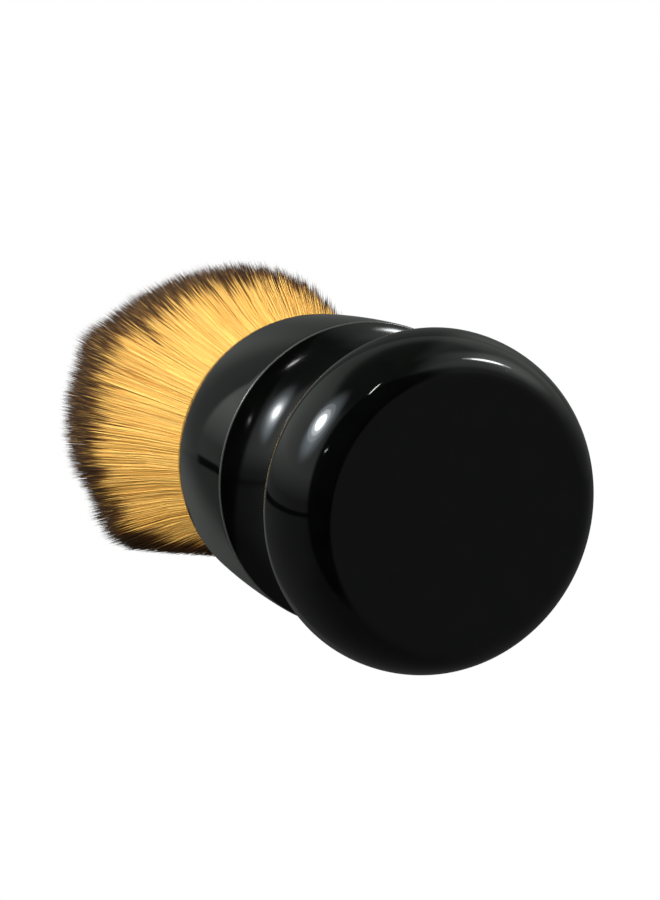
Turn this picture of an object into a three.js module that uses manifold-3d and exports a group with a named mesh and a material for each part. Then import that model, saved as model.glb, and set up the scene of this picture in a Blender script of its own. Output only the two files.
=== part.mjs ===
// Shaving brush: a turned resin handle with a round foot, a finger waist and a domed collar,
// and a fan-shaped knot of synthetic bristles glued into a blind socket in the collar.
// Millimetres, +Z up. The origin is the centre of the flat base and +Z runs to the bristle tips.

import * as THREE from "three";
import { mergeVertices } from "three/addons/utils/BufferGeometryUtils.js";
import Module from "manifold-3d";

// ---- Handle ----
const footRadius = 20; // the widest ring of the foot
const baseFaceRadius = 15.5; // the flat face that the brush stands on
const footWidestHeight = 7.6; // the base to the foot's widest ring
const footTopHeight = 12; // the base to where the foot's back meets the waist
const waistRadius = 14.9; // the thinnest place, where the fingers close
const waistFillet = 1.2; // the inside corner between the foot's back and the waist
const waistTopHeight = 18.7; // the base to where the cove starts to flare
const shoulderRadius = 18.85; // the sharp edge under the dome
const shoulderHeight = 25; // the base to that edge
const shoulderBreak = 0.3; // the width of the break along it
const domeTurnHeight = 39.9; // the base to where the dome's side turns into its top
const domeLean = 5.3; // how far the side leans in there, in degrees
const handleHeight = 48; // the base to the lip around the bristles
const lipWall = 0.9; // the width of the lip around the socket
const lipRound = 0.4; // the width of the break at the lip's outer and inner edges
const lipDrop = 0.12; // how far the outer break drops to the dome
const socketDepth = 17; // the lip to the floor of the blind socket

// ---- Knot ----
const knotRadius = 12; // the cast plug and the bundle where it leaves the plug
const glueGap = 0.3; // the room for glue between the plug and the socket wall
const adhesiveThickness = 1.5; // the bed of glue under the plug
const adhesiveRound = 0.5; // the rounded edge of the glue bed
const plugChamfer = 0.8; // the lead-in at the foot of the plug
const knotSetDepth = 2.5; // the lip down to the top of the plug
const rootLayerThickness = 2.5; // the top layer of the plug, which holds the roots
const layerGap = 0.3; // between the rings of the root layer

// ---- Bristles ----
const bloomRadius = 22.4; // the widest ring of the fan
const fanHeight = 22; // the lip to the fan's widest ring
const crownHeight = 25; // the widest ring to the middle tips
const crownFullness = 2.2; // 2 is an ellipse, more is squarer
const fanCurve = 1.5; // 1 is a straight spread, more leaves the socket steeper
const strandPitch = 1; // from ring to ring of strands at the roots
const strandSpacing = 1.05; // from strand to strand along a ring at the roots
const firstRingPitches = 0.65; // the innermost ring's radius, in strand pitches
const edgePitches = 0.8; // the least room outside the outermost ring, in strand pitches
const layerEdgePitches = 0.58; // from a layer's last ring to its edge, in strand pitches
const ringTwist = 2.4; // the turn from one ring to the next, in radians
const strandFill = 0.38; // a strand's half width as a share of the spacing there
const strandSides = 3;
const fewestInRing = 3; // the least strands in the innermost ring
const rootSink = 0.6; // how far a strand runs into the root layer
const knotLayers = { core: 0.55, inner: 0.73, middle: 0.91, outer: 1 }; // by share of rings
const taperStart = 0.8; // where a strand starts to taper, as a share of its length

// ---- Facets ----
const turnSteps = 60; // around the turned pieces
const arcSteps = 8; // along a quarter arc of a turned profile
const smallArcSteps = 4; // along the small arcs of the fillet and the glue's edge
const domeSideSteps = 5; // along the dome's side
const domeTopSteps = 9; // along the dome's top
const rootRingSteps = 28; // around the rings of the root layer
const bisections = 40; // halvings of the range in which a strand's tip is found

// ---- Surfaces ----
const blackResin = { color: 0x0b0c0d, roughness: 0.07 };
const curedGlue = { color: 0xd8cfae, roughness: 0.35 };
const castResin = { color: 0xe9e2d0, roughness: 0.5 };
const goldenFibre = { color: 0xe3b362, roughness: 0.55 };

const quarterTurn = Math.PI / 2;
const wasm = await Module();
wasm.setup();

// ---- Heights and radii that follow from the sizes above ----
const socketRadius = knotRadius + glueGap;
const lipRadius = socketRadius + lipWall;
const socketFloorHeight = handleHeight - socketDepth;
const sideLean = THREE.MathUtils.degToRad(domeLean);
const sideRadius = (domeTurnHeight - shoulderHeight) / Math.sin(sideLean);
const domeTurnRadius = shoulderRadius - sideRadius * (1 - Math.cos(sideLean));
const coveDepth = shoulderRadius - waistRadius;
const coveRise = shoulderHeight - waistTopHeight;
const coveRadius = (coveRise ** 2 + coveDepth ** 2) / (2 * coveDepth);
const knotHeight = socketDepth - knotSetDepth; // the socket floor to the plug's top
const plugHeight = knotHeight - adhesiveThickness - rootLayerThickness;
const widestRingHeight = knotSetDepth + fanHeight; // the plug's top to the widest ring
const ringCount = Math.floor(knotRadius / strandPitch - firstRingPitches - edgePitches) + 1;
const fullSpread = bloomRadius / (ringRadius(ringCount - 1) + strandFill * strandPitch);

// Points of an ellipse's arc about (centreR, centreZ), with half axes halfR and halfZ. The
// angles are in quarter turns: 0 points outwards, 1 points up and -1 points down.
function arc(centreR, centreZ, halfR, halfZ, from, to, steps = arcSteps) {
  const points = [];
  for (let i = 0; i <= steps; i++) {
    const angle = (from + ((to - from) * i) / steps) * quarterTurn;
    const r = centreR + halfR * Math.cos(angle);
    const z = centreZ + halfZ * Math.sin(angle);
    points.push(new THREE.Vector2(r, z));
  }
  return points;
}

// A closed profile (radius, height), turned about +Z.
function turned(profile, steps = turnSteps) {
  const distinct = profile.filter(
    (point, i) => i === 0 || point.distanceTo(profile[i - 1]) > 1e-4,
  );
  return new THREE.LatheGeometry(distinct, steps).rotateX(quarterTurn);
}

function toSolid(geometry) {
  const bare = geometry.clone();
  bare.deleteAttribute("normal");
  bare.deleteAttribute("uv");
  const merged = mergeVertices(bare, 1e-4);
  const vertProperties = new Float32Array(merged.attributes.position.array);
  const triVerts = new Uint32Array(merged.index.array);
  return new wasm.Manifold(new wasm.Mesh({ numProp: 3, vertProperties, triVerts }));
}

function toGeometry(solid) {
  const mesh = solid.getMesh();
  const geometry = new THREE.BufferGeometry();
  geometry.setAttribute("position", new THREE.BufferAttribute(mesh.vertProperties, 3));
  geometry.setIndex(new THREE.BufferAttribute(mesh.triVerts, 1));
  geometry.computeVertexNormals();
  return geometry;
}

// The foot: a flat face, a quarter arc out to the widest ring, and a flatter one back in.
function footProfile() {
  const face = new THREE.Vector2(0, 0);
  const front = arc(
    baseFaceRadius, footWidestHeight, footRadius - baseFaceRadius, footWidestHeight, -1, 0,
  );
  const backInnerRadius = waistRadius + waistFillet;
  const back = arc(
    backInnerRadius, footWidestHeight,
    footRadius - backInnerRadius, footTopHeight - footWidestHeight, 0, 1,
  );
  return [face, ...front, ...back];
}

// The waist: a small hollow fillet, a straight stretch, and the cove, a circle that leaves the
// waist upright and flares out to the shoulder under the dome.
function waistProfile() {
  const fillet = arc(
    waistRadius + waistFillet, footTopHeight + waistFillet, waistFillet, waistFillet,
    -1, -2, smallArcSteps,
  );
  const flare = Math.acos(1 - (coveDepth - shoulderBreak) / coveRadius) / quarterTurn;
  const cove = arc(
    waistRadius + coveRadius, waistTopHeight, coveRadius, coveRadius, 2, 2 - flare,
  );
  return [...fillet, ...cove];
}

// The dome: a long arc that stands upright on the shoulder and leans in, and a round one that
// carries on from it, over the top, to the lip.
function domeProfile() {
  const lean = sideLean / quarterTurn;
  const start = Math.asin(shoulderBreak / sideRadius) / quarterTurn;
  const side = arc(
    shoulderRadius - sideRadius, shoulderHeight, sideRadius, sideRadius,
    start, lean, domeSideSteps,
  );
  const drop = domeTurnRadius - lipRadius;
  const rise = handleHeight - lipDrop - domeTurnHeight;
  const slack = drop * Math.cos(sideLean) - rise * Math.sin(sideLean);
  const topRadius = (drop ** 2 + rise ** 2) / (2 * slack);
  const centreR = domeTurnRadius - topRadius * Math.cos(sideLean);
  const centreZ = domeTurnHeight - topRadius * Math.sin(sideLean);
  const end = Math.atan2(domeTurnHeight + rise - centreZ, lipRadius - centreR) / quarterTurn;
  return [...side, ...arc(centreR, centreZ, topRadius, topRadius, lean, end, domeTopSteps)];
}

// The lip's broken edges, and the blind socket down to the middle of its floor.
function socketProfile() {
  return [
    new THREE.Vector2(lipRadius - lipRound, handleHeight),
    new THREE.Vector2(socketRadius + lipRound, handleHeight),
    new THREE.Vector2(socketRadius, handleHeight - lipRound),
    new THREE.Vector2(socketRadius, socketFloorHeight),
    new THREE.Vector2(0, socketFloorHeight),
  ];
}

function handleGeometry() {
  return turned([
    ...footProfile(), ...waistProfile(), ...domeProfile(), ...socketProfile(),
  ]);
}

// The glue under the plug: a disc with a rounded edge, on the socket's floor.
function adhesiveGeometry() {
  const edge = arc(
    knotRadius - adhesiveRound, adhesiveThickness / 2,
    adhesiveRound, adhesiveThickness / 2, -1, 1, smallArcSteps,
  );
  return turned([new THREE.Vector2(0, 0), ...edge, new THREE.Vector2(0, adhesiveThickness)]);
}

// The cast plug, below the layer that holds the roots.
function plugGeometry() {
  return turned([
    new THREE.Vector2(0, 0),
    new THREE.Vector2(knotRadius - plugChamfer, 0),
    new THREE.Vector2(knotRadius, plugChamfer),
    new THREE.Vector2(knotRadius, plugHeight),
    new THREE.Vector2(0, plugHeight),
  ]);
}

// One ring of the root layer, from 0 up to its thickness. The core has no inner edge.
function rootRingGeometry(innerEdge, outerEdge) {
  const outline = [
    new THREE.Vector2(innerEdge, 0),
    new THREE.Vector2(outerEdge, 0),
    new THREE.Vector2(outerEdge, rootLayerThickness),
    new THREE.Vector2(innerEdge, rootLayerThickness),
  ];
  if (innerEdge > 0) {
    outline.push(outline[0].clone());
  }
  return turned(outline, rootRingSteps);
}

// The radius at the roots of a ring of strands, counted from 0 at the middle.
function ringRadius(ring) {
  return strandPitch * (firstRingPitches + ring);
}

// The edge of the layer that ends before this ring.
function layerEdge(ring) {
  return ringRadius(ring - 1) + layerEdgePitches * strandPitch;
}

// How many times wider than at its roots the bundle is, at a height above the roots.
function spreadAt(height) {
  return 1 + (fullSpread - 1) * (Math.max(height, 0) / widestRingHeight) ** fanCurve;
}

// The height above the roots at which a strand rooted at this radius meets the crown.
function tipHeight(rootRadius) {
  let low = 0;
  let high = widestRingHeight + crownHeight;
  for (let i = 0; i < bisections; i++) {
    const middle = (low + high) / 2;
    const across = (rootRadius * spreadAt(middle)) / bloomRadius;
    const up = Math.max(middle - widestRingHeight, 0) / crownHeight;
    if (across ** crownFullness + up ** crownFullness < 1) {
      low = middle;
    } else {
      high = middle;
    }
  }
  return low;
}

// Adds one strand to the arrays: a ring at its root, one where it leaves the socket, one
// where it starts to taper, and a pointed tip.
function addStrand(positions, indices, rootRadius, turn) {
  const length = tipHeight(rootRadius);
  const heights = [-rootSink, knotSetDepth, taperStart * length];
  const first = positions.length / 3;
  for (const height of heights) {
    const spread = spreadAt(height);
    const halfWidth = strandFill * strandPitch * spread;
    for (let side = 0; side < strandSides; side++) {
      const angle = turn + (side * 2 * Math.PI) / strandSides;
      const x = rootRadius * spread * Math.cos(turn) + halfWidth * Math.cos(angle);
      const y = rootRadius * spread * Math.sin(turn) + halfWidth * Math.sin(angle);
      positions.push(x, y, height);
    }
  }
  const tipRadius = rootRadius * spreadAt(length);
  positions.push(tipRadius * Math.cos(turn), tipRadius * Math.sin(turn), length);

  const lastRing = first + (heights.length - 1) * strandSides;
  const tip = lastRing + strandSides;
  for (let side = 0; side < strandSides; side++) {
    const next = (side + 1) % strandSides;
    for (let ring = first; ring < lastRing; ring += strandSides) {
      indices.push(ring + side, ring + next, ring + strandSides + next);
      indices.push(ring + side, ring + strandSides + next, ring + strandSides + side);
    }
    indices.push(lastRing + side, lastRing + next, tip);
  }
  for (let side = 1; side < strandSides - 1; side++) {
    indices.push(first, first + side + 1, first + side);
  }
}

// The strands of the rings from first up to last, each ring turned a little from the next.
function strandsGeometry(firstRing, lastRing) {
  const positions = [];
  const indices = [];
  for (let ring = firstRing; ring < lastRing; ring++) {
    const radius = ringRadius(ring);
    const room = Math.floor((2 * Math.PI * radius) / strandSpacing);
    const count = Math.max(fewestInRing, room);
    for (let i = 0; i < count; i++) {
      const turn = (2 * Math.PI * i) / count + ring * ringTwist;
      addStrand(positions, indices, radius, turn);
    }
  }
  const geometry = new THREE.BufferGeometry();
  geometry.setAttribute("position", new THREE.Float32BufferAttribute(positions, 3));
  geometry.setIndex(indices);
  return geometry;
}

// One layer of the knot: its rings of strands fused to their ring of the root layer.
function bristlesGeometry(firstRing, lastRing) {
  const innerEdge = firstRing > 0 ? layerEdge(firstRing) + layerGap / 2 : 0;
  const outerEdge = lastRing < ringCount ? layerEdge(lastRing) - layerGap / 2 : knotRadius;
  const strands = strandsGeometry(firstRing, lastRing).translate(0, 0, rootLayerThickness);
  return toGeometry(toSolid(strands).add(toSolid(rootRingGeometry(innerEdge, outerEdge))));
}

// A named mesh with a material of its own.
function piece(name, geometry, surface) {
  const mesh = new THREE.Mesh(geometry, new THREE.MeshStandardMaterial(surface));
  mesh.name = name;
  return mesh;
}

const group = new THREE.Group();
group.add(piece("handle", handleGeometry(), blackResin));

const knot = new THREE.Group();
knot.position.z = socketFloorHeight;
group.add(knot);
knot.add(piece("adhesive_bed", adhesiveGeometry(), curedGlue));

const plug = piece("knot_plug", plugGeometry(), castResin);
plug.position.z = adhesiveThickness;
knot.add(plug);

let firstRing = 0;
for (const [place, share] of Object.entries(knotLayers)) {
  const lastRing = Math.round(share * ringCount);
  const geometry = bristlesGeometry(firstRing, lastRing);
  const bristles = piece("bristles_" + place, geometry, goldenFibre);
  bristles.position.z = adhesiveThickness + plugHeight;
  knot.add(bristles);
  firstRing = lastRing;
}

export default group;
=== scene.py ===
"""Shaving brush: a turned black resin handle and a fan of golden, dark-tipped bristles.

The brush stands on its flat base, in metres, with +Z along its axis to the tips.
"""

import math

import bmesh
import bpy
import numpy as np
from bpy.props import FloatProperty, FloatVectorProperty, IntProperty, PointerProperty
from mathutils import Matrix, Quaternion, Vector


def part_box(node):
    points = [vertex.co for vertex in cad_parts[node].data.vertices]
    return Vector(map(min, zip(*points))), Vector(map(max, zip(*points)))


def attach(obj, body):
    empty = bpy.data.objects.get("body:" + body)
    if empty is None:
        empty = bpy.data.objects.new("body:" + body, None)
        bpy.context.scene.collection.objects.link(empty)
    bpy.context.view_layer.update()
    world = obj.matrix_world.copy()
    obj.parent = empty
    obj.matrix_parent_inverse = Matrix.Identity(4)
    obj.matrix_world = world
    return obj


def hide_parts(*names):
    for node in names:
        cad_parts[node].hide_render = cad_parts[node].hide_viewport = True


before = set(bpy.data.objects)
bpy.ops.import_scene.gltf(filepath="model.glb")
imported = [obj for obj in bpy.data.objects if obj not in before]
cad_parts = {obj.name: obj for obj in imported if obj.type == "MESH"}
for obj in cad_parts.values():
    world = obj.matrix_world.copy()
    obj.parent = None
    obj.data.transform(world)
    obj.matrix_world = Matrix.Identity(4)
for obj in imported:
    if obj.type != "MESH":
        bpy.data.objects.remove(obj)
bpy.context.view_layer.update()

bl_info = {
    "name": "Shaving Brush",
    "version": (1, 0, 0),
    "blender": (4, 5, 0),
    "location": "View3D > Sidebar > Brush",
    "description": "Builds a shaving brush with a turned handle and a fan of bristles",
    "category": "Add Mesh",
}

_, HANDLE_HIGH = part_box("handle")
_, PLUG_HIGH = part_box("knot_plug")
BUNDLE_LOW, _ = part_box("bristles_outer")

QUARTER_TURN = math.pi / 2

# The knot's nodes from the axis outwards, and the roots that each holds, from one share
# of the knot's radius to the next.
LAYER_NODES = ("bristles_core", "bristles_inner", "bristles_middle", "bristles_outer")
LAYER_EDGES = (0.0, 0.551, 0.742, 0.884, 1.01)

SEED = 41

# Where each fibre bends, as shares of its length, and how wide it is there.
STATIONS = (0.0, 0.3, 0.6, 0.88, 1.0)
TAPER = (1.0, 1.05, 1.05, 0.78, 0.0)

# The fibres' own map has a column for each tone, and its height is a length of fibre.
FIBRE_MAP = "OFBake"
TONE_COLUMNS = 128
MAP_LENGTH = 0.054


# ---- Sizes and colours ----


def length(name, description, default):
    return FloatProperty(
        name=name,
        description=description,
        default=default,
        min=0.0,
        unit="LENGTH",
        precision=5,
    )


def share(name, description, default):
    return FloatProperty(
        name=name,
        description=description,
        default=default,
        min=0.0,
        max=1.0,
        subtype="FACTOR",
    )


def plain(name, description, default):
    return FloatProperty(name=name, description=description, default=default)


def count(name, description, default):
    return IntProperty(name=name, description=description, default=default, min=1)


def colour(name, description, default):
    return FloatVectorProperty(
        name=name,
        description=description,
        default=default,
        subtype="COLOR",
        size=3,
        min=0.0,
        max=1.0,
    )


class HandleSettings(bpy.types.PropertyGroup):
    foot_radius: length("Foot Radius", "Widest ring of the foot", 0.02)
    base_radius: length("Base Radius", "Flat face under the foot", 0.0155)
    foot_widest: length("Foot Widest", "Height of the foot's widest ring", 0.0076)
    foot_top: length("Foot Top", "Height where the foot meets the waist", 0.012)
    waist_radius: length("Waist Radius", "Thinnest place of the handle", 0.0149)
    waist_fillet: length("Waist Fillet", "Inside corner above the foot", 0.0012)
    waist_top: length("Waist Top", "Height where the cove starts", 0.0187)
    shoulder_radius: length("Shoulder Radius", "Sharp edge under the dome", 0.01885)
    shoulder: length("Shoulder", "Height of that edge", 0.025)
    shoulder_break: length("Shoulder Break", "Radius of its rounding", 0.0003)
    dome_turn: length("Dome Turn", "Height where the side turns into the top", 0.0399)
    dome_lean: FloatProperty(
        name="Dome Lean",
        description="How far the dome's side leans in there",
        default=math.radians(5.3),
        subtype="ANGLE",
        unit="ROTATION",
    )
    height: length("Height", "Base to the lip", HANDLE_HIGH.z)
    lip_radius: length("Lip Radius", "Dome at its top", 0.0132)
    lip_drop: length("Lip Drop", "How far the lip's outer edge drops", 0.00012)
    lip_round: length("Lip Round", "Radius of the lip's inner edge", 0.0004)
    socket_radius: length("Socket Radius", "Hole for the knot", 0.0123)
    socket_floor: length("Socket Floor", "Height of the socket's floor", 0.031)
    turn_steps: count("Steps", "Faces round the handle", 192)
    resin: colour("Resin", "Black of the handle", (0.00045, 0.0006, 0.0005))
    worn_and_highlight: colour("Worn", "Resin of the shoulder's matt edge", (0.05, 0.052, 0.05))
    # The shoulder edge's matt resin, painted paler as a highlight line along the edge.
    dust: colour("Dust", "Specks on the polish", (0.16, 0.15, 0.14))


class KnotSettings(bpy.types.PropertyGroup):
    knot_radius: length("Knot Radius", "Bundle at its roots", 0.0119)
    bloom_radius: length("Bloom Radius", "Widest ring of the fan", 0.0221)
    rise: length("Rise", "Plug to the widest ring", 0.0245)
    crown: length("Crown", "Widest ring to the middle tips", 0.0248)
    fullness: plain("Fullness", "Crown's outline, 2 is an ellipse", 2.2)
    curve: plain("Curve", "Spread of the fan, 1 is straight", 1.5)
    fibres: count("Fibres", "How many fibres there are", 37600)
    tufts: count("Tufts", "How many tufts the fibres gather in", 260)
    locks: count("Locks", "How many fine locks the fibres gather in", 2100)
    gather: share("Gather", "How far a tuft's tips draw together", 0.07)
    lock_gather: share("Lock Gather", "How far a lock's tips draw together", 0.1)
    fibre_radius: length("Fibre Radius", "Half the width of a fibre", 0.000072)
    wander: length("Wander", "How far tips stray sideways", 0.0003)
    fringe: length("Fringe", "How far most tips end inside the outline", 0.0007)
    droop: length("Droop", "How far the fan leans towards its pressed side", 0.0005)
    pressed_way: FloatProperty(
        name="Pressed Way",
        description="Which side of the fan has lain on a table",
        default=math.radians(158.5),
        subtype="ANGLE",
        unit="ROTATION",
    )
    pressed_reach: length("Pressed Reach", "From the axis to that flat side", 0.0181)
    root_layer: length("Root Layer", "Top layer of the plug, with the roots", 0.0025)
    root_gold: colour("Root Gold", "Fibre near the plug", (0.98, 0.56, 0.08))
    gold: colour("Gold", "Middle of the fibre", (1.0, 0.615, 0.145))
    tip_brown: colour("Tip Brown", "Where gold turns dark", (0.25, 0.088, 0.011))
    tip_dark: colour("Tip Dark", "Ends of the fibres", (0.045, 0.018, 0.002))
    tip_length: length("Tip Length", "Length of the dark end", 0.0034)
    tip_drift: length("Tip Drift", "How dark ends differ from tuft to tuft", 0.0005)
    # Painted shade: longer dark ends on the pressed side stand for the shade where it
    # lay on the table, as well as for tips bent there.
    tip_bend_and_shade: length("Tip Bend", "Longer dark ends on the pressed side", 0.005)
    bend_shade_reach: length("Tip Bend Reach", "How near that side it starts", 0.00198)
    bend_shade_fade: length("Tip Bend Fade", "How soon it grows to its full", 0.0009)


class StageSettings(bpy.types.PropertyGroup):
    lens: plain("Lens", "Focal length in millimetres", 88.0)
    camera_place: FloatVectorProperty(
        name="Camera Place",
        description="Where the camera stands",
        default=(0.0, -0.1212376, -0.2130562),
        subtype="XYZ",
        unit="LENGTH",
    )
    camera_turn: FloatVectorProperty(
        name="Camera Turn",
        description="How the camera is turned",
        default=(math.radians(169.89), math.radians(23.9911), math.radians(65.6697)),
        subtype="EULER",
        unit="ROTATION",
    )
    floor: colour("Floor", "Pale floor", (0.62, 0.62, 0.62))
    key_radiance: plain("Key", "Radiance of the key light", 22.0)


# ---- Node trees ----


def set_inputs(tree, made, inputs):
    """Links or sets a node's inputs."""
    for key, value in inputs.items():
        socket = made.inputs[key]
        if isinstance(value, bpy.types.NodeSocket):
            tree.links.new(value, socket)
        else:
            socket.default_value = value
    return made


def add(tree, kind, inputs=None, **settings):
    """A node with its settings, and its inputs linked or set."""
    made = tree.nodes.new(kind)
    for name, value in settings.items():
        setattr(made, name, value)
    return set_inputs(tree, made, inputs or {})


def maths(tree, operation, first, second=0.0):
    made = add(tree, "ShaderNodeMath", {0: first, 1: second}, operation=operation)
    return made.outputs[0]


def product(tree, first, *factors):
    for factor in factors:
        first = maths(tree, "MULTIPLY", first, factor)
    return first


def total(tree, first, *parts):
    for part in parts:
        first = maths(tree, "ADD", first, part)
    return first


def ranged(tree, value, low, high, to_low=0.0, to_high=1.0, smooth=False):
    """The value mapped from low..high to to_low..to_high, and held there."""
    made = add(
        tree,
        "ShaderNodeMapRange",
        {
            "Value": value,
            "From Min": low,
            "From Max": high,
            "To Min": to_low,
            "To Max": to_high,
        },
        interpolation_type="SMOOTHSTEP" if smooth else "LINEAR",
    )
    return made.outputs["Result"]


def blended(tree, factor, first, second):
    """A mix of two colours."""
    made = tree.nodes.new("ShaderNodeMix")
    made.data_type = "RGBA"
    for socket, value in zip(
        (made.inputs[0], made.inputs[6], made.inputs[7]), (factor, first, second)
    ):
        if isinstance(value, bpy.types.NodeSocket):
            tree.links.new(value, socket)
        elif hasattr(value, "__len__"):
            socket.default_value = (*value[:3], 1.0)
        else:
            socket.default_value = value
    return made.outputs[2]


def new_material(name):
    """A material with a Principled BSDF, and its tree and shader."""
    material = bpy.data.materials.new(name)
    material.use_nodes = True
    tree = material.node_tree
    tree.nodes.clear()
    shader = tree.nodes.new("ShaderNodeBsdfPrincipled")
    add(tree, "ShaderNodeOutputMaterial", {"Surface": shader.outputs[0]})
    return material, tree, shader


def new_group(name, inputs, outputs):
    """A shader node group and its input and output nodes."""
    tree = bpy.data.node_groups.new(name, "ShaderNodeTree")
    for label, kind, default in inputs:
        socket = tree.interface.new_socket(label, in_out="INPUT", socket_type=kind)
        if default is not None:
            socket.default_value = default
    for label, kind in outputs:
        tree.interface.new_socket(label, in_out="OUTPUT", socket_type=kind)
    return tree, tree.nodes.new("NodeGroupInput"), tree.nodes.new("NodeGroupOutput")


def placed_group(tree, group, inputs):
    """A node that places a group in a material."""
    return set_inputs(tree, add(tree, "ShaderNodeGroup", node_tree=group), inputs)


def speck_group():
    """Small round specks: a mask from Object coordinates."""
    if "Specks" in bpy.data.node_groups:
        return bpy.data.node_groups["Specks"]
    tree, start, end = new_group(
        "Specks",
        [
            ("Vector", "NodeSocketVector", None),
            ("Per Metre", "NodeSocketFloat", 300.0),
            ("Size", "NodeSocketFloat", 0.03),
            ("Share", "NodeSocketFloat", 0.4),
        ],
        [("Mask", "NodeSocketFloat")],
    )
    cells = add(
        tree,
        "ShaderNodeTexVoronoi",
        {"Vector": start.outputs["Vector"], "Scale": start.outputs["Per Metre"]},
    )
    chance = add(tree, "ShaderNodeSeparateColor", {0: cells.outputs["Color"]})
    kept = maths(tree, "LESS_THAN", chance.outputs[0], start.outputs["Share"])
    size = product(tree, chance.outputs[1], start.outputs["Size"])
    inside = maths(tree, "LESS_THAN", cells.outputs["Distance"], size)
    tree.links.new(product(tree, kept, inside), end.inputs["Mask"])
    return tree


def mottle_group():
    """Slow and fine variation together, from 0 to 1, from Object coordinates."""
    if "Mottle" in bpy.data.node_groups:
        return bpy.data.node_groups["Mottle"]
    tree, start, end = new_group(
        "Mottle",
        [
            ("Vector", "NodeSocketVector", None),
            ("Per Metre", "NodeSocketFloat", 100.0),
            ("Detail", "NodeSocketFloat", 3.0),
        ],
        [("Value", "NodeSocketFloat")],
    )
    noise = add(
        tree,
        "ShaderNodeTexNoise",
        {
            "Vector": start.outputs["Vector"],
            "Scale": start.outputs["Per Metre"],
            "Detail": start.outputs["Detail"],
            "Roughness": 0.55,
        },
    )
    tree.links.new(ranged(tree, noise.outputs["Fac"], 0.28, 0.72), end.inputs["Value"])
    return tree


# ---- Materials ----


def mottled(tree, place, per_metre, detail):
    """Clouds over a surface, so many to the metre."""
    clouds = placed_group(
        tree,
        mottle_group(),
        {"Vector": place, "Per Metre": per_metre, "Detail": detail},
    )
    return clouds.outputs["Value"]


def specked(tree, place, per_metre, size, kept):
    """Specks over a surface, and how many of them are kept."""
    specks = placed_group(
        tree,
        speck_group(),
        {"Vector": place, "Per Metre": per_metre, "Size": size, "Share": kept},
    )
    return specks.outputs["Mask"]


def polished_resin(settings):
    """Black cast resin with a high polish, faint waviness, smudges and a few specks."""
    material, tree, shader = new_material("polished_black_resin")
    place = tree.nodes.new("ShaderNodeTexCoord").outputs["Object"]
    height = add(tree, "ShaderNodeSeparateXYZ", {0: place}).outputs["Z"]
    smudges = mottled(tree, place, per_metre=90.0, detail=4.0)
    clouds = mottled(tree, place, per_metre=260.0, detail=2.0)
    waves = mottled(tree, place, per_metre=110.0, detail=0.5)
    specks = specked(tree, place, per_metre=420.0, size=0.045, kept=0.3)

    # The buff doesn't reach well into the cove.
    low, high = settings.waist_top, settings.shoulder
    fade_in, fade_out = 0.001, 0.0004
    in_cove = product(
        tree,
        ranged(tree, height, low, low + fade_in),
        ranged(tree, height, high, high - fade_out),
    )
    # It leaves the shoulder's sharp edge a little matt, and that edge is also painted
    # paler, a painted highlight line along it.
    line = 0.0001
    edge_wear_and_highlight = product(
        tree,
        ranged(tree, height, high - line, high),
        ranged(tree, height, high + 2 * line, high + line),
    )

    cloudy, dusty = 2.6, 0.5
    lighter = [min(1.0, cloudy * x) for x in settings.resin]
    body = blended(tree, clouds, settings.resin, lighter)
    # The shoulder's edge: worn matt, and painted paler as a highlight line.
    body = blended(tree, edge_wear_and_highlight, body, settings.worn_and_highlight)
    body = blended(tree, product(tree, specks, dusty), body, settings.dust)
    clean, smudged = 0.045, 0.085
    cove_adds, edge_adds, speck_adds = 0.07, 0.2, 0.35
    roughness = total(
        tree,
        ranged(tree, smudges, 0.35, 1.0, clean, smudged),
        product(tree, in_cove, cove_adds),
        product(tree, edge_wear_and_highlight, edge_adds),
        product(tree, specks, speck_adds),
    )
    bump = add(
        tree,
        "ShaderNodeBump",
        {"Strength": 0.5, "Distance": 0.00001, "Height": waves},
    )
    tree.links.new(body, shader.inputs["Base Color"])
    tree.links.new(roughness, shader.inputs["Roughness"])
    tree.links.new(bump.outputs[0], shader.inputs["Normal"])
    shader.inputs["IOR"].default_value = 1.5
    return material


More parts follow.
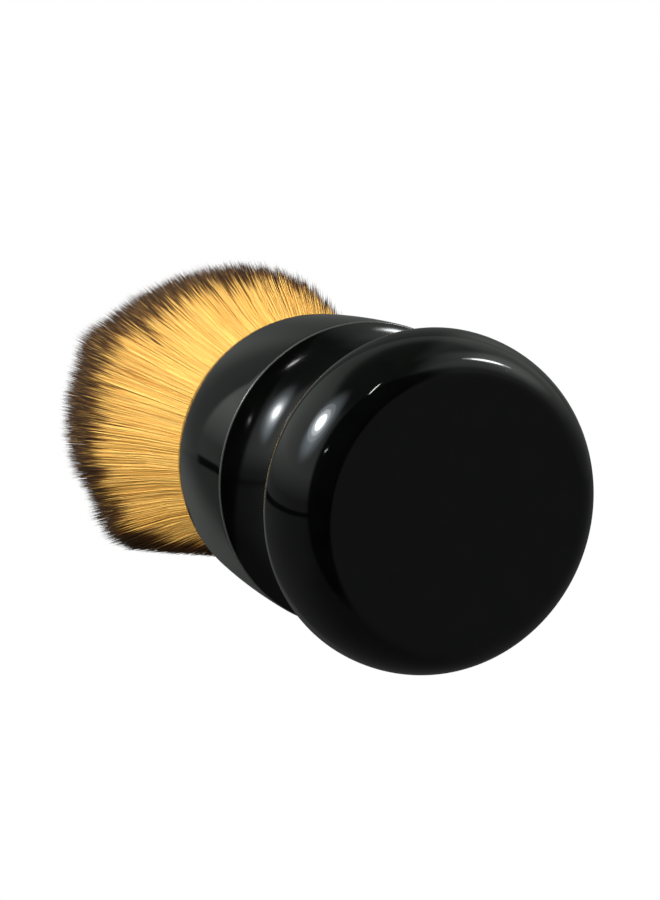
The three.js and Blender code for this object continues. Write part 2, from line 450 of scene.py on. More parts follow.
def fibre_group(settings):
    """Colour and roughness of a fibre from its own map.

    Tone is the map's U, which says which fibre it is, and Along is its V, which runs
    to the tip.
    """
    tree, start, end = new_group(
        "Dyed Fibre",
        [("Tone", "NodeSocketFloat", 0.5), ("Along", "NodeSocketFloat", 0.5)],
        [("Color", "NodeSocketColor"), ("Roughness", "NodeSocketFloat")],
    )
    tone, along = start.outputs["Tone"], start.outputs["Along"]

    def varied(per_unit, shift):
        """A value from 0 to 1 that differs from tone to tone."""
        where = total(tree, product(tree, tone, per_unit), shift)
        noise = add(
            tree,
            "ShaderNodeTexNoise",
            {"W": where, "Scale": 1.0, "Detail": 0.0},
            noise_dimensions="1D",
        )
        return ranged(tree, noise.outputs["Fac"], 0.25, 0.75)

    # The dark end is longer on some fibres.
    chance = varied(per_unit=151.0, shift=3.0)
    usual = settings.tip_length / MAP_LENGTH
    dark = ranged(tree, chance, 0.0, 1.0, 0.5 * usual, 1.6 * usual)
    into_dark = maths(tree, "SUBTRACT", along, maths(tree, "SUBTRACT", 1.0, dark))

    def faded(start, stop):
        """How far into the dark end, between two lengths from where it starts."""
        low, high = start / MAP_LENGTH, stop / MAP_LENGTH
        return ranged(tree, into_dark, low, high, smooth=True)

    browned = faded(-0.0018, 0.0006)
    darkened = faded(-0.0004, 0.002)

    # Gold that deepens to the roots, differs from fibre to fibre and ripples along it.
    deeper, paler = (0.87, 0.72, 0.45), (1.0, 1.12, 1.5)
    deep = [x * y for x, y in zip(settings.gold, deeper)]
    pale = [min(1.0, x * y) for x, y in zip(settings.gold, paler)]
    from_root = ranged(tree, along, 0.1, 0.55, smooth=True)
    gold = blended(tree, from_root, settings.root_gold, settings.gold)
    toned = blended(tree, varied(per_unit=73.0, shift=11.0), deep, pale)
    over_tones, over_length = 97.0, 9.0
    where = add(
        tree,
        "ShaderNodeCombineXYZ",
        {0: product(tree, tone, over_tones), 1: product(tree, along, over_length)},
    )
    ripple = add(
        tree,
        "ShaderNodeTexNoise",
        {"Vector": where.outputs[0], "Scale": 1.0, "Detail": 2.0},
    )
    rippled = ranged(tree, ripple.outputs["Fac"], 0.3, 0.7, 0.0, 0.15)
    body = blended(tree, 0.4, gold, toned)
    body = blended(tree, rippled, body, deep)
    body = blended(tree, browned, body, settings.tip_brown)
    body = blended(tree, darkened, body, settings.tip_dark)
    tree.links.new(body, end.inputs["Color"])
    roughness = ranged(tree, darkened, 0.0, 1.0, 0.55, 0.6)
    tree.links.new(roughness, end.inputs["Roughness"])
    return tree


def dyed_fibre(settings):
    """Golden filament with a dark dyed end."""
    material, tree, shader = new_material("golden_dark_tipped_fibre")
    own = add(tree, "ShaderNodeUVMap", uv_map=FIBRE_MAP)
    parts = add(tree, "ShaderNodeSeparateXYZ", {0: own.outputs[0]})
    dyed = placed_group(
        tree,
        fibre_group(settings),
        {"Tone": parts.outputs[0], "Along": parts.outputs[1]},
    )
    tree.links.new(dyed.outputs["Color"], shader.inputs["Base Color"])
    tree.links.new(dyed.outputs["Roughness"], shader.inputs["Roughness"])
    shader.inputs["Specular IOR Level"].default_value = 0.45
    return material


def cast_resin(name, tint, darker, roughness, bump_depth):
    """Pale cast or cured resin with fine bubbles and uneven tone."""
    material, tree, shader = new_material(name)
    place = tree.nodes.new("ShaderNodeTexCoord").outputs["Object"]
    clouds = mottled(tree, place, per_metre=220.0, detail=3.0)
    bubbles = specked(tree, place, per_metre=900.0, size=0.3, kept=0.35)
    body = blended(tree, clouds, darker, tint)
    body = blended(tree, product(tree, bubbles, 0.25), body, darker)
    dull = ranged(tree, clouds, 0.0, 1.0, roughness + 0.08, roughness - 0.06)
    bump = add(
        tree,
        "ShaderNodeBump",
        {
            "Strength": 0.6,
            "Distance": bump_depth,
            "Height": maths(tree, "SUBTRACT", clouds, bubbles),
        },
    )
    tree.links.new(body, shader.inputs["Base Color"])
    tree.links.new(dull, shader.inputs["Roughness"])
    tree.links.new(bump.outputs[0], shader.inputs["Normal"])
    return material


# ---- Meshes ----


def arc(centre, half, start, stop, steps):
    """Points of an ellipse's arc, in quarter turns: 0 is outwards, 1 up and -1 down."""
    turns = np.linspace(start, stop, steps + 1) * QUARTER_TURN
    return [
        (centre[0] + half[0] * math.cos(t), centre[1] + half[1] * math.sin(t))
        for t in turns
    ]


def handle_profile(size):
    """The handle's outline, from the middle of its base to the socket's floor."""
    # The cove is a circle that leaves the waist upright and ends at the shoulder.
    depth = size.shoulder_radius - size.waist_radius
    rise = size.shoulder - size.waist_top
    cove = (rise**2 + depth**2) / (2 * depth)
    # The edge is rounded by a small circle that touches the cove and the dome's side.
    edge = size.shoulder_radius - size.shoulder_break
    across = size.waist_radius + cove - edge
    climb = math.sqrt((cove + size.shoulder_break) ** 2 - across**2)
    low = size.waist_top + climb
    flare = math.atan2(climb, across) / QUARTER_TURN
    # The dome's side is a long arc, upright at the shoulder, and its top carries on.
    side = (size.dome_turn - size.shoulder) / math.sin(size.dome_lean)
    side_centre = (size.shoulder_radius - side, size.shoulder)
    side_start = math.asin((low - size.shoulder) / side) / QUARTER_TURN
    lean = size.dome_lean / QUARTER_TURN
    cos, sin = math.cos(size.dome_lean), math.sin(size.dome_lean)
    turn_radius = size.shoulder_radius - side * (1 - cos)
    high = size.height - size.lip_drop
    inwards = turn_radius - size.lip_radius
    upwards = high - size.dome_turn
    top = (inwards**2 + upwards**2) / (2 * (inwards * cos - upwards * sin))
    centre = (turn_radius - top * cos, size.dome_turn - top * sin)
    end = math.atan2(high - centre[1], size.lip_radius - centre[0])
    top_end = end / QUARTER_TURN
    # The lip's outer edge is rounded by a circle that touches the dome and the lip.
    rim = size.lip_drop / (1 - math.sin(end))
    rim_centre = (size.lip_radius - rim * math.cos(end), size.height - rim)
    hole_centre = (size.socket_radius + size.lip_round, size.height - size.lip_round)

    base, wide = size.base_radius, size.foot_widest
    corner = size.waist_radius + size.waist_fillet
    fillet_centre = (corner, size.foot_top + size.waist_fillet)
    front = (size.foot_radius - base, wide)
    back = (size.foot_radius - corner, size.foot_top - wide)
    # Each arc's centre, half widths, start, stop and steps, from the base upwards.
    arcs = (
        ((base, wide), front, -1, 0, 28),
        ((corner, wide), back, 0, 1, 24),
        (fillet_centre, (size.waist_fillet,) * 2, -1, -2, 10),
        ((size.waist_radius + cove, size.waist_top), (cove, cove), 2, 2 - flare, 36),
        ((edge, low), (size.shoulder_break,) * 2, -flare, side_start, 8),
        (side_centre, (side, side), side_start, lean, 16),
        (centre, (top, top), lean, top_end, 36),
        (rim_centre, (rim, rim), top_end, 1, 6),
        (hole_centre, (size.lip_round,) * 2, 1, 2, 6),
    )
    # Two rings on the flat face keep its shading flat up to the foot's round.
    outline = [(0.0, 0.0), (0.93 * base, 0.0), (0.99 * base, 0.0)]
    for row in arcs:
        outline += arc(*row)
    return outline + [(size.socket_radius, size.socket_floor), (0.0, size.socket_floor)]


def placed(mesh, name, material, slot, *nodes):
    """A piece that rides on the brush, and stands for those CAD nodes."""
    mesh.materials.append(material)
    piece = bpy.data.objects.new(name, mesh)
    bpy.context.scene.collection.objects.link(piece)
    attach(piece, "root")
    if nodes:
        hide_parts(*nodes)
    return piece


def shown(bm, name, material, slot, *nodes):
    """Writes a bmesh as such a piece."""
    mesh = bpy.data.meshes.new(name)
    bm.to_mesh(mesh)
    bm.free()
    return placed(mesh, name, material, slot, *nodes)


def turn_outline(outline, steps):
    """The outline, in the plane of X and Z, turned about Z."""
    bm = bmesh.new()
    points = [bm.verts.new((radius, 0.0, height)) for radius, height in outline]
    for pair in zip(points, points[1:]):
        bm.edges.new(pair)
    bmesh.ops.remove_doubles(bm, verts=bm.verts[:], dist=1e-7)
    bmesh.ops.spin(
        bm,
        geom=bm.verts[:] + bm.edges[:],
        cent=(0, 0, 0),
        axis=(0, 0, 1),
        angle=2 * math.pi,
        steps=steps,
        use_merge=True,
    )
    bmesh.ops.remove_doubles(bm, verts=bm.verts[:], dist=1e-6)
    bmesh.ops.recalc_face_normals(bm, faces=bm.faces[:])
    for face in bm.faces:
        face.smooth = True
    return bm


def fibre_template(stations):
    """One fibre of three sides and a pointed tip.

    A vertex's height is its station's number, and its X and Y are the corners of a
    triangle of radius 1.
    """
    bm = bmesh.new()
    bmesh.ops.create_circle(bm, segments=3, radius=1.0)
    ring = bm.edges[:]
    for _ in range(stations - 1):
        grown = bmesh.ops.extrude_edge_only(bm, edges=ring)["geom"]
        top = [g for g in grown if isinstance(g, bmesh.types.BMVert)]
        bmesh.ops.translate(bm, verts=top, vec=(0, 0, 1))
        ring = [g for g in grown if isinstance(g, bmesh.types.BMEdge)]
    bmesh.ops.pointmerge(bm, verts=top, merge_co=(0, 0, stations - 1))
    bmesh.ops.recalc_face_normals(bm, faces=bm.faces[:])
    bm.verts.index_update()
    corners = np.array([v.co for v in bm.verts])
    faces = [[v.index for v in face.verts] for face in bm.faces]
    for face, indices in zip(bm.faces, faces):
        outwards = face.calc_center_median() * Vector((1, 1, 0))
        if outwards.dot(face.normal) < 0:
            indices.reverse()
    bm.free()
    return corners, faces


def spread_at(size, height):
    """How many times wider than at its roots the bundle is, so high above the plug."""
    widest = size.bloom_radius / size.knot_radius
    up = np.maximum(height, 0.0) / size.rise
    return 1 + (widest - 1) * up**size.curve


def pressed_direction(size):
    """The way from the axis to the middle of the pressed side."""
    return np.array([math.cos(size.pressed_way), math.sin(size.pressed_way)])


def tip_heights(size, radii, turns, halvings=40):
    """The heights at which fibres rooted here meet the crown or the pressed side."""
    low = np.zeros_like(radii)
    high = np.full_like(radii, size.rise + size.crown)
    for _ in range(halvings):
        middle = (low + high) / 2
        reach = radii * spread_at(size, middle)
        up = np.maximum(middle - size.rise, 0.0) / size.crown
        inside = (reach / size.bloom_radius) ** size.fullness + up**size.fullness < 1
        inside &= reach * np.cos(turns - size.pressed_way) < size.pressed_reach
        low = np.where(inside, middle, low)
        high = np.where(inside, high, middle)
    return low


def sunflower(number, radius, rng, loosen, power=0.5):
    """Points spread over a disc, each moved a little.

    They lie evenly, or denser at the rim if the power is less than a half.
    """
    order = np.arange(number) + 0.5
    reach = radius * (order / number) ** power
    turn = order * math.pi * (3 - math.sqrt(5))
    pitch = radius * math.sqrt(math.pi / number)
    points = np.stack([reach * np.cos(turn), reach * np.sin(turn)], 1)
    return points + rng.normal(0.0, loosen * pitch, points.shape)


def nearest(points, centres, most_pairs=4_000_000):
    """Which centre each point is nearest to, worked out in parts of so many pairs."""
    parts = np.array_split(points, 1 + len(points) * len(centres) // most_pairs)
    return np.concatenate(
        [np.argmin(((part[:, None] - centres[None]) ** 2).sum(2), 1) for part in parts]
    )


# Where the fan's outline bulges or draws in: the way round, its width in degrees,
# and how far.
FAN_LOBES = (
    (5.0, 30.0, 0.0011),
    (315.0, 25.0, -0.0006),
    (265.0, 30.0, 0.0007),
    (279.0, 7.0, 0.0011),
    (217.0, 8.0, -0.0013),
    (206.0, 20.0, 0.0012),
)


def reach_at(size, turn):
    """How many times further than the even fan it reaches, each way round the brush."""
    reach = 1 + size.droop / size.bloom_radius * np.cos(turn - size.pressed_way)
    for way, width, far in FAN_LOBES:
        apart = np.degrees(turn) - way
        apart = (apart + 180) % 360 - 180
        reach += far / size.bloom_radius * np.exp(-((apart / width) ** 2))
    return reach


def pressed(size, places, soft=0.0003):
    """The points, with the side that lay on the table pressed flat, softly."""
    way = pressed_direction(size)
    out = places @ way
    past = np.logaddexp(0, (size.pressed_reach - out) / soft)
    kept = size.pressed_reach - soft * past
    return places + (np.minimum(kept, out) - out)[:, None] * way


def rooted(size, rng):
    """Where the fibres are rooted, denser towards the rim and none beyond it."""
    roots = sunflower(size.fibres, size.knot_radius, rng, loosen=0.2, power=0.43)
    reach = np.hypot(*roots.T)
    limit = np.minimum(1.0, size.knot_radius / np.maximum(reach, 1e-9))
    return roots * limit[:, None], reach * limit


def fibre_lengths(size, reach, turn, lock, rng):
    """How high each tip is: most end a little inside the outline, some well inside."""
    lengths = tip_heights(size, reach, turn)
    own, of_lock, farthest, outwards = (x * size.fringe for x in (1, 0.4, 5, 0.6))
    share_far, most = 0.12, 0.2
    short = rng.exponential(own, size.fibres)
    short += rng.exponential(of_lock, size.locks)[lock]
    far = rng.random(size.fibres) < share_far
    short[far] += rng.uniform(0.0, farthest, far.sum())
    return lengths + outwards - np.minimum(short, most * lengths)


def fibre_paths(size, plug_top, root, rng):
    """The points of every fibre at each station, and what its mesh and map need.

    That is how far from the axis it is rooted, its tone, and how much longer than
    others' its dark end is.
    """
    roots, reach = rooted(size, rng)
    turn = np.arctan2(roots[:, 1], roots[:, 0])
    tufts = sunflower(size.tufts, size.knot_radius, rng, loosen=0.3)
    locks = sunflower(size.locks, size.knot_radius, rng, loosen=0.35)
    tuft = nearest(roots, tufts)
    lock = nearest(roots, locks)
    lengths = fibre_lengths(size, reach, turn, lock, rng)

    # Each strays at its tip, no further than a limit, and bows and waves a little.
    limit, bowed, waved = 1.6, 0.12, 0.1
    stray = np.clip(rng.normal(0.0, 1.0, (size.fibres, 2)), -limit, limit)
    sideways = size.wander * stray
    gather = size.gather * rng.uniform(0.4, 1.4, size.fibres)
    lock_gather = size.lock_gather * rng.uniform(0.3, 1.3, size.fibres)
    bow = rng.normal(0.0, bowed * size.wander, (size.fibres, 2))
    wave = rng.normal(0.0, waved * size.wander, (size.fibres, 2))

    # Powers of the share of its length, so that this happens mostly near its tip.
    tuft_power, lock_power, stray_power = 1.7, 1.2, 2.6
    paths = np.empty((size.fibres, len(STATIONS), 3))
    bottom = root - plug_top
    for station, share_up in enumerate(STATIONS):
        height = bottom + (lengths - bottom) * share_up
        grown = np.clip(height / size.rise, 0.0, 1.0)
        even = 1 + (reach_at(size, turn) - 1) * grown
        spread = (spread_at(size, height) * even)[:, None]
        pull = (gather * share_up**tuft_power)[:, None]
        lock_pull = (lock_gather * share_up**lock_power)[:, None]
        place = roots + (tufts[tuft] - roots) * pull + (locks[lock] - roots) * lock_pull
        place = place * spread + sideways * share_up**stray_power
        place += bow * math.sin(math.pi * share_up)
        place += wave * math.sin(2 * math.pi * share_up)
        paths[:, station, :2] = pressed(size, place)
        paths[:, station, 2] = plug_top + height

    # Fibres that end on the pressed side show more of their dark ends, partly bent tips
    # and partly painted shade where that side lay on the table.
    inside = size.pressed_reach - paths[:, -1, :2] @ pressed_direction(size)
    bent_and_shaded = np.clip((size.bend_shade_reach - inside) / size.bend_shade_fade, 0.0, 1.0)
    dark = size.tip_bend_and_shade * bent_and_shaded
    dark += size.tip_drift * rng.normal(0.0, 1.0, size.tufts)[tuft]
    # A fibre's tone is partly its tuft's and its lock's, and under 1 in all.
    of_tuft, of_lock, own, most = 0.15, 0.25, 0.6, 0.9999
    tone = of_tuft * rng.random(size.tufts)[tuft]
    tone += of_lock * rng.random(size.locks)[lock]
    tone = np.clip(tone + own * rng.random(size.fibres), 0.0, most)
    return paths, reach, tone, dark


def fibre_mesh(name, paths, widths, tones, turns, dark):
    """One mesh of many fibres, each a copy of the template along its own path."""
    number, stations = paths.shape[:2]
    corners, faces = fibre_template(stations)
    station = np.rint(corners[:, 2]).astype(int)
    cos, sin = np.cos(turns)[:, None], np.sin(turns)[:, None]
    across = corners[None, :, 0] * cos - corners[None, :, 1] * sin
    along = corners[None, :, 0] * sin + corners[None, :, 1] * cos
    places = paths[:, station, :].copy()
    radius = widths[:, station]
    places[:, :, 0] += across * radius
    places[:, :, 1] += along * radius

    sizes = np.array([len(face) for face in faces])
    flat = np.concatenate(faces)
    loops = (flat[None] + np.arange(number)[:, None] * len(corners)).ravel()
    starts = np.concatenate([[0], np.cumsum(sizes)[:-1]])
    starts = (starts[None] + np.arange(number)[:, None] * len(flat)).ravel()

    mesh = bpy.data.meshes.new(name)
    mesh.vertices.add(number * len(corners))
    mesh.vertices.foreach_set("co", places.astype(np.float32).ravel())
    mesh.loops.add(len(loops))
    mesh.loops.foreach_set("vertex_index", loops.astype(np.int32))
    mesh.polygons.add(len(starts))
    mesh.polygons.foreach_set("loop_start", starts.astype(np.int32))
    mesh.update(calc_edges=True)
    mesh.polygons.foreach_set("use_smooth", np.ones(len(starts), bool))

    # The map: a column of its own tone, as high as the fibre is long from its tip down.
    margin, column_reach = 0.002, 0.35
    steps = np.linalg.norm(np.diff(paths, axis=1), axis=2)
    to_tip = np.cumsum(steps[:, ::-1], 1)[:, ::-1]
    left = np.concatenate([to_tip, np.zeros((number, 1))], 1)
    left = np.where(left > 0, np.maximum(left - dark[:, None], 0.0), 0.0)
    height = np.clip(1.0 - left / MAP_LENGTH, 0.0, 1.0) * (1 - 2 * margin) + margin
    side = np.arctan2(corners[:, 1], corners[:, 0]) / math.pi * column_reach
    side = np.where(station == stations - 1, 0.0, side)
    column = np.floor(tones[:, None] * TONE_COLUMNS) + 0.5 + side[None]
    uv = np.stack([column / TONE_COLUMNS, height[:, station]], 2).reshape(-1, 2)
    layer = mesh.uv_layers.new(name=FIBRE_MAP)
    layer.data.foreach_set("uv", uv[loops].astype(np.float32).ravel())
    return mesh


# ---- Pieces ----


class BRUSH_OT_turn_handle(bpy.types.Operator):
    """Turns the handle from its outline and polishes it"""

    bl_idname = "brush.turn_handle"
    bl_label = "Turn Handle"

    def execute(self, context):
        settings = context.scene.brush_handle
        bm = turn_outline(handle_profile(settings), settings.turn_steps)
        shown(bm, "turned_handle", polished_resin(settings), "handle_resin", "handle")
        return {"FINISHED"}


class BRUSH_OT_finish_knot_base(bpy.types.Operator):
    """Gives the cast plug and the bed of glue their surfaces"""

    bl_idname = "brush.finish_knot_base"
    bl_label = "Finish Plug and Glue"

    def execute(self, context):
        plug = cast_resin(
            "cast_plug_resin",
            tint=(0.82, 0.77, 0.66),
            darker=(0.66, 0.6, 0.48),
            roughness=0.5,
            bump_depth=0.00008,
        )
        glue = cast_resin(
            "cured_glue",
            tint=(0.72, 0.62, 0.38),
            darker=(0.55, 0.44, 0.24),
            roughness=0.3,
            bump_depth=0.00015,
        )
        for node, material in (("knot_plug", plug), ("adhesive_bed", glue)):
            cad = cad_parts[node]
            if not cad.material_slots:
                cad.data.materials.append(material)
            for place in cad.material_slots:
                place.material = material
        return {"FINISHED"}


class BRUSH_OT_lay_fibres(bpy.types.Operator):
    """Lays the fibres of the knot in four rings, one inside the other"""

    bl_idname = "brush.lay_fibres"
    bl_label = "Lay Fibres"

    def execute(self, context):
        size = context.scene.brush_knot
        rng = np.random.default_rng(SEED)
        plug_top = BUNDLE_LOW.z + size.root_layer
        paths, reach, tone, dark = fibre_paths(size, plug_top, PLUG_HIGH.z, rng)
        thickness = rng.uniform(0.85, 1.15, (size.fibres, 1))
        widths = size.fibre_radius * thickness * np.array(TAPER)
        turns = rng.uniform(0, 2 * math.pi, size.fibres)
        material = dyed_fibre(size)
        edges = [edge * size.knot_radius for edge in LAYER_EDGES]
        for node, inner, outer in zip(LAYER_NODES, edges, edges[1:]):
            chosen = (reach >= inner) & (reach < outer)
            fibres = (part[chosen] for part in (paths, widths, tone, turns, dark))
            name = node.replace("bristles", "fibres")
            mesh = fibre_mesh(name, *fibres)
            placed(mesh, name, material, "bristle_fibre", node)
        return {"FINISHED"}


# ---- Stage ----


# Directions of the studio, seen as the brush lies on its side before the camera, and
# of its two lamps that show in the polish.
STUDIO_UP = (0.909, -0.416, -0.011)
STUDIO_LEFT = (-0.376, -0.832, 0.407)
TO_CAMERA = (-0.005, -0.437, -0.899)
KEY_WAY = (0.28, -0.948, 0.155)
SECOND_WAY = (0.89, 0.2815, -0.358)


def facing(tree, way, towards):
    """How far a ray looks in a given direction, from -1 to 1."""
    aim = tuple(Vector(towards).normalized())
    made = add(tree, "ShaderNodeVectorMath", {0: way, 1: aim}, operation="DOT_PRODUCT")
    return made.outputs["Value"]


def soft_patch(tree, way, towards, outer, inner, strength=1.0):
    """A round patch of light in that direction, from its outer edge to its full."""
    patch = ranged(tree, facing(tree, way, towards), outer, inner, smooth=True)
    return product(tree, patch, strength)


def studio_glow(tree, way):
    """How bright the dim studio is each way, with its panels and its table."""
    level = facing(tree, way, STUDIO_UP)
    left = facing(tree, way, STUDIO_LEFT)
    to_camera = facing(tree, way, TO_CAMERA)

    # A tall bright window on the left, whose far edge leans a little.
    edge = maths(tree, "SUBTRACT", to_camera, product(tree, level, 0.16))
    lit_side = ranged(tree, edge, -0.75, -0.735, smooth=True)
    window = product(
        tree,
        ranged(tree, level, 0.0, 0.22, 0.02, 0.44),
        ranged(tree, level, 0.82, 0.7, smooth=True),
        ranged(tree, left, 0.35, 0.75, 0.3, 1.0, smooth=True),
        lit_side,
    )
    ceiling = ranged(tree, level, 0.72, 0.88, 0.13, 0.07, smooth=True)
    right_wall = product(
        tree,
        ranged(tree, left, -0.08, -0.3, smooth=True),
        ranged(tree, level, 0.12, 0.4, 0.02, 0.19, smooth=True),
        ranged(tree, to_camera, 0.4, 0.1, smooth=True),
    )
    walls = total(
        tree,
        window,
        ceiling,
        right_wall,
        soft_patch(tree, way, (0.86, 0.45, -0.14), 0.93, 0.995, 0.5),
        soft_patch(tree, way, (0.88, 0.25, -0.4), 0.85, 0.99, 0.5),
    )

    # The table is a little brighter at its left and right ends.
    table = total(
        tree,
        ranged(tree, left, 0.3, 0.95, 0.07, 0.12, smooth=True),
        ranged(tree, left, -0.3, -0.8, 0.0, 0.048, smooth=True),
    )
    above = ranged(tree, level, -0.125, -0.095, smooth=True)
    below = maths(tree, "SUBTRACT", 1.0, above)

    # A dark line where the walls meet the table.
    line_level = -0.113
    off_line = maths(tree, "ABSOLUTE", maths(tree, "SUBTRACT", level, line_level))
    line = product(
        tree,
        ranged(tree, off_line, 0.012, 0.03, 0.92, 0.0, smooth=True),
        ranged(tree, left, 0.3, 0.5, smooth=True),
        lit_side,
    )

    # The pale backdrop behind the brush, mirrored in its limbs on the left.
    backdrop = product(
        tree,
        ranged(tree, to_camera, -0.76, -0.87, smooth=True),
        ranged(tree, left, 0.1, 0.45, smooth=True),
        ranged(tree, level, -0.38, -0.2, 0.08, 0.2),
    )
    room = total(
        tree, product(tree, walls, above), product(tree, table, below), backdrop
    )
    # It is dark round the camera, which the base's flat face mirrors.
    round_camera = ranged(tree, to_camera, 0.62, 0.74, 1.0, 0.06, smooth=True)
    return product(tree, room, maths(tree, "SUBTRACT", 1.0, line), round_camera)


def studio_world():
    """White to the camera, and a dim studio with soft panels to everything else."""
    world = bpy.data.worlds.new("studio")
    world.use_nodes = True
    tree = world.node_tree
    tree.nodes.clear()
    way = tree.nodes.new("ShaderNodeTexCoord").outputs["Generated"]
    glow = studio_glow(tree, way)

    # The cool halo round the key lamp.
    wide = soft_patch(tree, way, (0.13, -0.95, 0.28), 0.955, 0.998)
    close = soft_patch(tree, way, KEY_WAY, 0.91, 0.992)
    halo = total(
        tree, product(tree, wide, wide, 1.1), product(tree, close, close, 2.0)
    )
    tint = blended(tree, halo, (0.95, 1.0, 0.96), (0.8, 0.92, 1.0))
    studio = add(
        tree,
        "ShaderNodeBackground",
        {"Color": tint, "Strength": total(tree, glow, halo)},
    )
    white = add(
        tree, "ShaderNodeBackground", {"Color": (1.0, 1.0, 1.0, 1.0), "Strength": 1.0}
    )
    seen = tree.nodes.new("ShaderNodeLightPath").outputs["Is Camera Ray"]
    mixed = add(
        tree,
        "ShaderNodeMixShader",
        {0: seen, 1: studio.outputs[0], 2: white.outputs[0]},
    )
    add(tree, "ShaderNodeOutputWorld", {"Surface": mixed.outputs[0]})
    return world


def pale_floor(tint):
    """A pale floor with the brush's shadow, which only a camera above it sees."""
    material = bpy.data.materials.new("pale_floor")
    material.use_nodes = True
    tree = material.node_tree
    tree.nodes.clear()
    place = tree.nodes.new("ShaderNodeTexCoord").outputs["Object"]
    away = add(tree, "ShaderNodeVectorMath", {0: place}, operation="LENGTH")
    far = ranged(tree, away.outputs["Value"], 0.15, 0.75, smooth=True)

    def white(strength):
        glow = {"Color": (1.0, 1.0, 1.0, 1.0), "Strength": strength}
        return add(tree, "ShaderNodeEmission", glow).outputs[0]

    def mixed(factor, first, second):
        inputs = {0: factor, 1: first, 2: second}
        return add(tree, "ShaderNodeMixShader", inputs).outputs[0]

    # Near the brush it is lit and takes its shadow, and far away it is plain white.
    lit = add(tree, "ShaderNodeBsdfDiffuse", {"Color": (*tint, 1.0)})
    close = add(tree, "ShaderNodeAddShader", {0: lit.outputs[0], 1: white(0.55)})
    pale = mixed(far, close.outputs[0], white(1.0))
    clear = add(tree, "ShaderNodeBsdfTransparent").outputs[0]
    seen = tree.nodes.new("ShaderNodeLightPath").outputs["Is Camera Ray"]
    below = tree.nodes.new("ShaderNodeNewGeometry").outputs["Backfacing"]
    shows = product(tree, seen, maths(tree, "SUBTRACT", 1.0, below))
    surface = mixed(shows, clear, pale)
    add(tree, "ShaderNodeOutputMaterial", {"Surface": surface})
    return material


def soft_light(name, way, distance, size, radiance, tint=(1, 1, 1), roll=0, shows=True):
    """A soft light of that radiance, aimed at the brush's middle.

    It is rolled about its aim, in degrees. One that shows is an ellipse, and the
    polish mirrors it.
    """
    data = bpy.data.lights.new(name, "AREA")
    data.shape = "ELLIPSE" if shows else "RECTANGLE"
    data.size, data.size_y = size
    area = size[0] * size[1] * (math.pi / 4 if shows else 1.0)
    data.energy = radiance * math.pi * area
    data.color = tint
    lamp = bpy.data.objects.new(name, data)
    bpy.context.scene.collection.objects.link(lamp)
    aim = Vector(way).normalized()
    middle = Vector((0.0, 0.0, 0.045))
    lamp.location = middle + aim * distance
    lamp.rotation_mode = "QUATERNION"
    turned = Quaternion((0, 0, 1), math.radians(roll))
    lamp.rotation_quaternion = (-aim).to_track_quat("-Z", "Y") @ turned
    lamp.visible_glossy = shows
    lamp.visible_camera = False
    return lamp


def set_lamps(key):
    """The lamps that show in the polish, each with softer edges round its heart."""
    cool = (0.95, 0.99, 1.0)
    # Name, way, distance, size, radiance, tint and roll.
    lamps = (
        ("key_heart", KEY_WAY, 0.6, (0.1, 0.15), 0.9 * key, cool),
        ("key_middle", KEY_WAY, 0.605, (0.16, 0.23), 0.22 * key, cool),
        ("key_rim", KEY_WAY, 0.61, (0.24, 0.33), 0.07 * key, cool),
        ("second_heart", SECOND_WAY, 0.62, (0.16, 0.055), key, cool, 23),
        ("second_rim", SECOND_WAY, 0.625, (0.24, 0.08), 0.22 * key, cool, 23),
        ("lamp_high", (0.643, -0.584, -0.495), 0.6, (0.085, 0.02), 24, (1, 1, 1), 37),
        ("lamp_low", (0.072, -0.84, -0.537), 0.6, (0.06, 0.012), 9, (1, 1, 1), 108),
    )
    for lamp in lamps:
        soft_light(*lamp)


def set_fills():
    """Wide soft light from four sides, which the polish doesn't mirror."""
    warm, mild = (1.0, 0.93, 0.75), (1.0, 0.97, 0.9)
    fills = (
        ("fill_above", (0.3, -0.1, 1.0), 0.7, (0.8, 0.8), 1.1),
        ("fill_back", (-0.6, 0.75, 0.25), 0.8, (0.8, 0.8), 1.3, warm),
        ("fill_side", (1.0, -0.1, 0.0), 0.8, (0.8, 0.8), 2.0),
        ("fill_front", (0.15, -0.72, -0.65), 0.9, (1.9, 1.9), 1.7, mild),
    )
    for fill in fills:
        soft_light(*fill, shows=False)


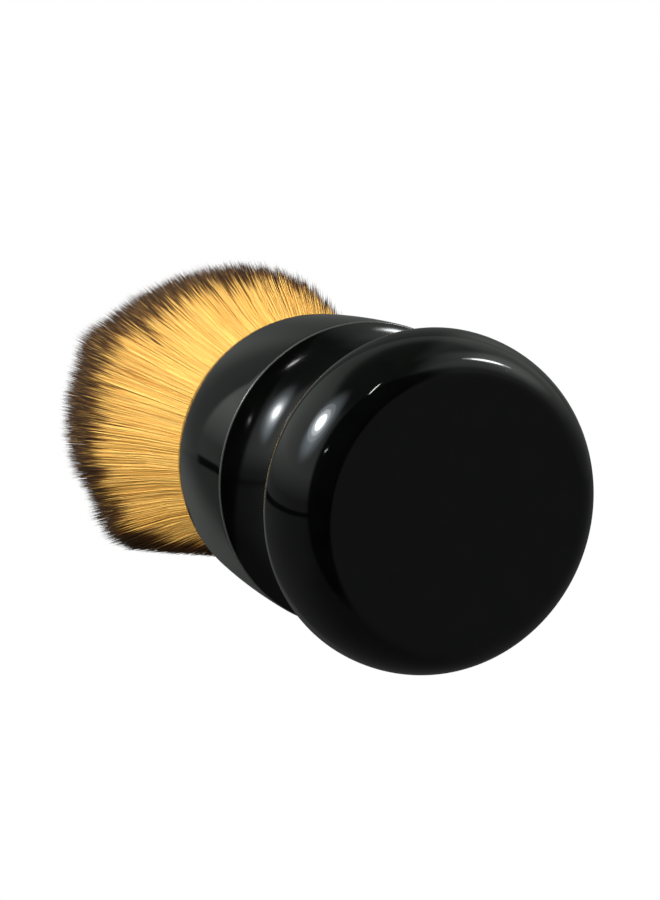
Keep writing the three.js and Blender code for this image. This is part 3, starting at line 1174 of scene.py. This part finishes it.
class BRUSH_OT_set_stage(bpy.types.Operator):
    """Sets the floor, the studio lights and the camera"""

    bl_idname = "brush.set_stage"
    bl_label = "Set Stage"

    def execute(self, context):
        settings = context.scene.brush_stage
        scene = context.scene
        scene.view_settings.view_transform = "Standard"
        scene.world = studio_world()
        set_lamps(settings.key_radiance)
        set_fills()

        bm = bmesh.new()
        bmesh.ops.create_grid(bm, x_segments=1, y_segments=1, size=6.0)
        bmesh.ops.translate(bm, verts=bm.verts[:], vec=(0, 0, -0.0003))
        mesh = bpy.data.meshes.new("floor")
        bm.to_mesh(mesh)
        bm.free()
        mesh.materials.append(pale_floor(settings.floor))
        floor = bpy.data.objects.new("floor", mesh)
        scene.collection.objects.link(floor)

        data = bpy.data.cameras.new("photo_camera")
        data.lens = settings.lens
        data.sensor_width = 36.0
        data.clip_start = 0.01
        camera = bpy.data.objects.new("photo_camera", data)
        scene.collection.objects.link(camera)
        camera.location = settings.camera_place
        camera.rotation_euler = settings.camera_turn
        scene.camera = camera
        return {"FINISHED"}


class BRUSH_PT_panel(bpy.types.Panel):
    """Lists the steps that build the brush"""

    bl_idname = "BRUSH_PT_panel"
    bl_label = "Shaving Brush"
    bl_space_type = "VIEW_3D"
    bl_region_type = "UI"
    bl_category = "Brush"

    def draw(self, context):
        for step in STEPS:
            self.layout.operator(step.bl_idname)


STEPS = (
    BRUSH_OT_turn_handle,
    BRUSH_OT_finish_knot_base,
    BRUSH_OT_lay_fibres,
    BRUSH_OT_set_stage,
)
SETTINGS = (
    ("brush_handle", HandleSettings),
    ("brush_knot", KnotSettings),
    ("brush_stage", StageSettings),
)


def register():
    for name, group in SETTINGS:
        bpy.utils.register_class(group)
        setattr(bpy.types.Scene, name, PointerProperty(type=group))
    for step in STEPS:
        bpy.utils.register_class(step)
    bpy.utils.register_class(BRUSH_PT_panel)


def unregister():
    bpy.utils.unregister_class(BRUSH_PT_panel)
    for step in reversed(STEPS):
        bpy.utils.unregister_class(step)
    for name, group in reversed(SETTINGS):
        delattr(bpy.types.Scene, name)
        bpy.utils.unregister_class(group)


def main():
    register()
    bpy.ops.brush.turn_handle()
    bpy.ops.brush.finish_knot_base()
    bpy.ops.brush.lay_fibres()
    bpy.ops.brush.set_stage()


if __name__ == "__main__":
    main()
